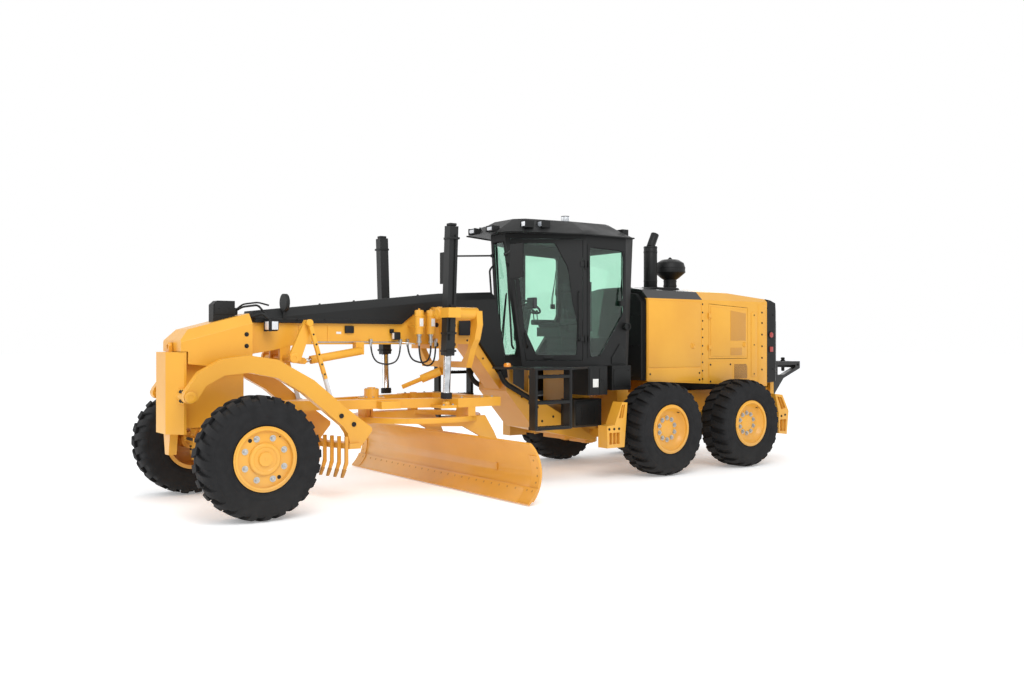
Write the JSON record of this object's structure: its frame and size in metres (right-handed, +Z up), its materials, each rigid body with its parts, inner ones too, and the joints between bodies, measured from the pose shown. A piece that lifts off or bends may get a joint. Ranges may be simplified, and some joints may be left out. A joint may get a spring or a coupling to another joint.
{
  "type": "motor grader",
  "caption": "Articulated motor grader with a gooseneck frame, a front scarifier, a turning circle with a curved blade, a glazed cab and tandem rear wheels.",
  "frame": {"origin": "On the ground under the middle of the overall length, on the centre plane.", "axes": "+X forwards, +Y to the machine's left, +Z up."},
  "size_m": [9.77, 4.02, 3.3691],
  "materials": {
    "yellow_paint": "satin",
    "black_paint": "satin",
    "tyre_rubber": "matte",
    "cab_glazing": "gloss",
    "chrome_rod": "polished",
    "bare_steel": "brushed",
    "lamp_lens": "gloss"
  },
  "bodies": {
    "front_frame_body": {"front_frame": "yellow_paint", "frame_cover": "black_paint", "nose_box": "yellow_paint", "push_block": "yellow_paint", "front_axle": "yellow_paint", "saddle": "yellow_paint", "cylinder_barrels": "black_paint", "cab_body": "black_paint", "cab_roof": "black_paint", "cab_glass": "cab_glazing", "cab_interior": "black_paint", "lamps": "lamp_lens", "mirrors": "black_paint", "ladders": "black_paint", "side_boxes": "black_paint"},
    "rear_frame_body": {"rear_frame": "yellow_paint", "hood": "yellow_paint", "hood_front": "black_paint", "engine": "black_paint", "rear_grille": "black_paint", "exhaust_stack": "black_paint", "air_cleaner": "black_paint", "tandem_cases": "yellow_paint", "tandem_guards": "yellow_paint"},
    "front_left_wheel": {"front_left_tyre": "tyre_rubber", "front_left_rim": "yellow_paint"},
    "front_right_wheel": {"front_right_tyre": "tyre_rubber", "front_right_rim": "yellow_paint"},
    "middle_left_wheel": {"middle_left_tyre": "tyre_rubber", "middle_left_rim": "yellow_paint"},
    "middle_right_wheel": {"middle_right_tyre": "tyre_rubber", "middle_right_rim": "yellow_paint"},
    "rear_left_wheel": {"rear_left_tyre": "tyre_rubber", "rear_left_rim": "yellow_paint"},
    "rear_right_wheel": {"rear_right_tyre": "tyre_rubber", "rear_right_rim": "yellow_paint"},
    "left_cab_door": {"left_cab_door": "black_paint", "left_door_glass": "cab_glazing"},
    "left_engine_door": {"left_engine_door": "yellow_paint"},
    "left_lean_bracket": {"left_lean_bracket": "yellow_paint"},
    "left_knuckle": {"left_knuckle": "yellow_paint"},
    "left_lift_rod": {"left_lift_rod": "chrome_rod"},
    "right_cab_door": {"right_cab_door": "black_paint", "right_door_glass": "cab_glazing"},
    "right_engine_door": {"right_engine_door": "yellow_paint"},
    "right_lean_bracket": {"right_lean_bracket": "yellow_paint"},
    "right_knuckle": {"right_knuckle": "yellow_paint"},
    "right_lift_rod": {"right_lift_rod": "chrome_rod"},
    "lean_bar": {"lean_bar": "black_paint"},
    "tie_rod": {"tie_rod": "black_paint"},
    "drawbar": {"drawbar": "yellow_paint"},
    "circle": {"circle": "yellow_paint"},
    "blade_carriage": {"blade_carriage": "yellow_paint"},
    "bell_crank": {"bell_crank": "yellow_paint"},
    "scarifier_links": {"scarifier_links": "yellow_paint"},
    "scarifier_rod": {"scarifier_rod": "chrome_rod"},
    "blade": {"moldboard": "yellow_paint", "cutting_edge": "bare_steel"},
    "scarifier": {"scarifier_frame": "yellow_paint", "scarifier_teeth": "bare_steel"}
  },
  "joints": [
    {"name": "articulation", "type": "hinge", "parent": "front_frame_body", "child": "rear_frame_body", "pos_m": [-0.745, 0, 0.85], "axis": [0, 0, 1], "range_deg": [-20, 20]},
    {"name": "left_lean", "type": "hinge", "parent": "front_frame_body", "child": "left_lean_bracket", "pos_m": [4.275, 0.7, 0.54], "axis": [-1, 0, 0], "range_deg": [-18, 18]},
    {"name": "right_lean", "type": "hinge", "parent": "front_frame_body", "child": "right_lean_bracket", "pos_m": [4.275, -0.7, 0.54], "axis": [-1, 0, 0], "range_deg": [-18, 18]},
    {"name": "lean_bar_slide", "type": "slide", "parent": "front_frame_body", "child": "lean_bar", "axis": [0, 1, 0], "range_m": [-0.034, 0.034]},
    {"name": "left_steer", "type": "hinge", "parent": "left_lean_bracket", "child": "left_knuckle", "pos_m": [4.275, 0.8, 0.596], "axis": [0, 0, 1], "range_deg": [-47.5, 47.5]},
    {"name": "right_steer", "type": "hinge", "parent": "right_lean_bracket", "child": "right_knuckle", "pos_m": [4.275, -0.8, 0.596], "axis": [0, 0, 1], "range_deg": [-47.5, 47.5]},
    {"name": "tie_rod_slide", "type": "slide", "parent": "front_frame_body", "child": "tie_rod", "axis": [0, 1, 0], "range_m": [-0.0912, 0.0912]},
    {"name": "front_left_spin", "type": "hinge", "parent": "left_knuckle", "child": "front_left_wheel", "pos_m": [4.275, 1.045, 0.596], "axis": [0, 1, 0], "continuous": true},
    {"name": "front_right_spin", "type": "hinge", "parent": "right_knuckle", "child": "front_right_wheel", "pos_m": [4.275, -1.045, 0.596], "axis": [0, 1, 0], "continuous": true},
    {"name": "middle_left_spin", "type": "hinge", "parent": "rear_frame_body", "child": "middle_left_wheel", "pos_m": [-1.0865, 1.045, 0.596], "axis": [0, 1, 0], "continuous": true},
    {"name": "middle_right_spin", "type": "hinge", "parent": "rear_frame_body", "child": "middle_right_wheel", "pos_m": [-1.0865, -1.045, 0.596], "axis": [0, 1, 0], "continuous": true},
    {"name": "rear_left_spin", "type": "hinge", "parent": "rear_frame_body", "child": "rear_left_wheel", "pos_m": [-2.6095, 1.045, 0.596], "axis": [0, 1, 0], "continuous": true},
    {"name": "rear_right_spin", "type": "hinge", "parent": "rear_frame_body", "child": "rear_right_wheel", "pos_m": [-2.6095, -1.045, 0.596], "axis": [0, 1, 0], "continuous": true},
    {"name": "drawbar_lift", "type": "hinge", "parent": "front_frame_body", "child": "drawbar", "pos_m": [3.755, 0, 1], "axis": [0, 1, 0], "range_deg": [-23.6, 13]},
    {"name": "left_lift_rod_slide", "type": "slide", "parent": "front_frame_body", "child": "left_lift_rod", "axis": [0, 0.0579, 0.9983], "range_m": [-0.75, 0.413]},
    {"name": "right_lift_rod_slide", "type": "slide", "parent": "front_frame_body", "child": "right_lift_rod", "axis": [0, -0.0579, 0.9983], "range_m": [-0.75, 0.413]},
    {"name": "circle_turn", "type": "hinge", "parent": "drawbar", "child": "circle", "pos_m": [1.915, 0, 0.82], "axis": [0, 0, 1], "range_deg": [-45, 45]},
    {"name": "blade_tip", "type": "hinge", "parent": "circle", "child": "blade_carriage", "pos_m": [1.375, 0, 0.25], "axis": [0, 1, 0], "range_deg": [-5, 40]},
    {"name": "side_shift", "type": "slide", "parent": "blade_carriage", "child": "blade", "axis": [0, -1, 0], "range_m": [-0.51, 0.66]},
    {"name": "scarifier_lift", "type": "hinge", "parent": "front_frame_body", "child": "scarifier", "pos_m": [4.769, 0, 1.164], "axis": [0, 1, 0], "range_deg": [-16, 0]},
    {"name": "crank_turn", "type": "hinge", "parent": "front_frame_body", "child": "bell_crank", "pos_m": [3.625, 0, 1.53], "axis": [0, 1, 0], "range_deg": [-70, 0]},
    {"name": "link_turn", "type": "hinge", "parent": "scarifier", "child": "scarifier_links", "pos_m": [3.205, 0, 1.02], "axis": [0, 1, 0], "range_deg": [-6.6, 0]},
    {"name": "scarifier_rod_slide", "type": "slide", "parent": "front_frame_body", "child": "scarifier_rod", "axis": [0.9878, 0, -0.1555], "range_m": [0, 0.1]},
    {"name": "left_door_hinge", "type": "hinge", "parent": "front_frame_body", "child": "left_cab_door", "pos_m": [-0.1177, 0.7073, 2.2], "axis": [0, 0, 1], "range_deg": [0, 80]},
    {"name": "right_door_hinge", "type": "hinge", "parent": "front_frame_body", "child": "right_cab_door", "pos_m": [-0.1177, -0.7073, 2.2], "axis": [0, 0, -1], "range_deg": [0, 80]},
    {"name": "left_engine_hinge", "type": "hinge", "parent": "rear_frame_body", "child": "left_engine_door", "pos_m": [-2.38, 0.692, 1.85], "axis": [0, 0, -1], "range_deg": [0, 100]},
    {"name": "right_engine_hinge", "type": "hinge", "parent": "rear_frame_body", "child": "right_engine_door", "pos_m": [-2.38, -0.692, 1.85], "axis": [0, 0, 1], "range_deg": [0, 100]}
  ],
  "couplings": [
    {"joint": "right_lean", "follows": "left_lean", "ratio": 1},
    {"joint": "lean_bar_slide", "follows": "left_lean", "m_per_rad": 0.105},
    {"joint": "right_steer", "follows": "left_steer", "ratio": 1},
    {"joint": "tie_rod_slide", "follows": "left_steer", "m_per_rad": -0.11},
    {"joint": "left_lift_rod_slide", "follows": "drawbar_lift", "m_per_rad": 1.82},
    {"joint": "right_lift_rod_slide", "follows": "drawbar_lift", "m_per_rad": 1.82},
    {"joint": "crank_turn", "follows": "scarifier_lift", "ratio": 4.37},
    {"joint": "link_turn", "follows": "scarifier_lift", "ratio": 0.406},
    {"joint": "scarifier_rod_slide", "follows": "scarifier_lift", "m_per_rad": -0.358}
  ]
}
